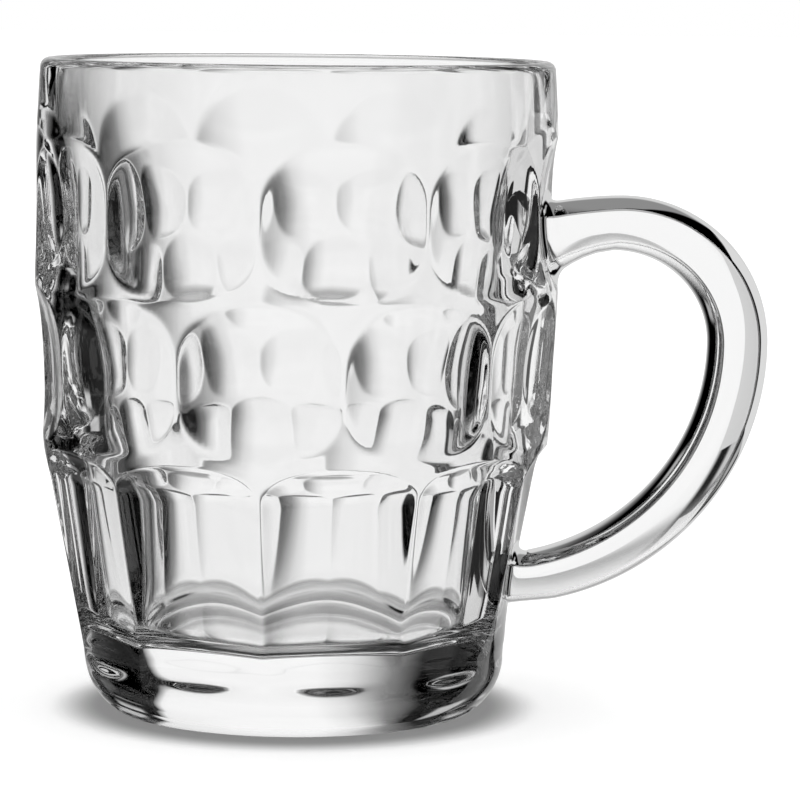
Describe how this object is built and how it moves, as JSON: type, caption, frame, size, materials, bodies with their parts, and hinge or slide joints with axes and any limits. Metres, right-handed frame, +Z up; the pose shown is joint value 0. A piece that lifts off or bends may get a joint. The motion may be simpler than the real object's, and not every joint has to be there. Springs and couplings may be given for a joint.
{
  "type": "beer mug",
  "caption": "Heavy pressed-glass pint mug with staggered thumb dimples, tall panels round the lower wall, a thick foot and a C-shaped solid glass handle.",
  "frame": {"origin": "middle of the base, where the mug's axis meets the table", "axes": "+Z up the mug's axis to the rim, +X towards the handle, +Y across the handle"},
  "size_m": [0.1436, 0.1022, 0.127],
  "materials": {
    "body_glass": "pressed soda-lime glass, fire polished",
    "handle_glass": "solid pressed soda-lime glass, fire polished"
  },
  "bodies": {
    "root": {"mug_body": "body_glass", "handle": "handle_glass"}
  },
  "joints": []
}
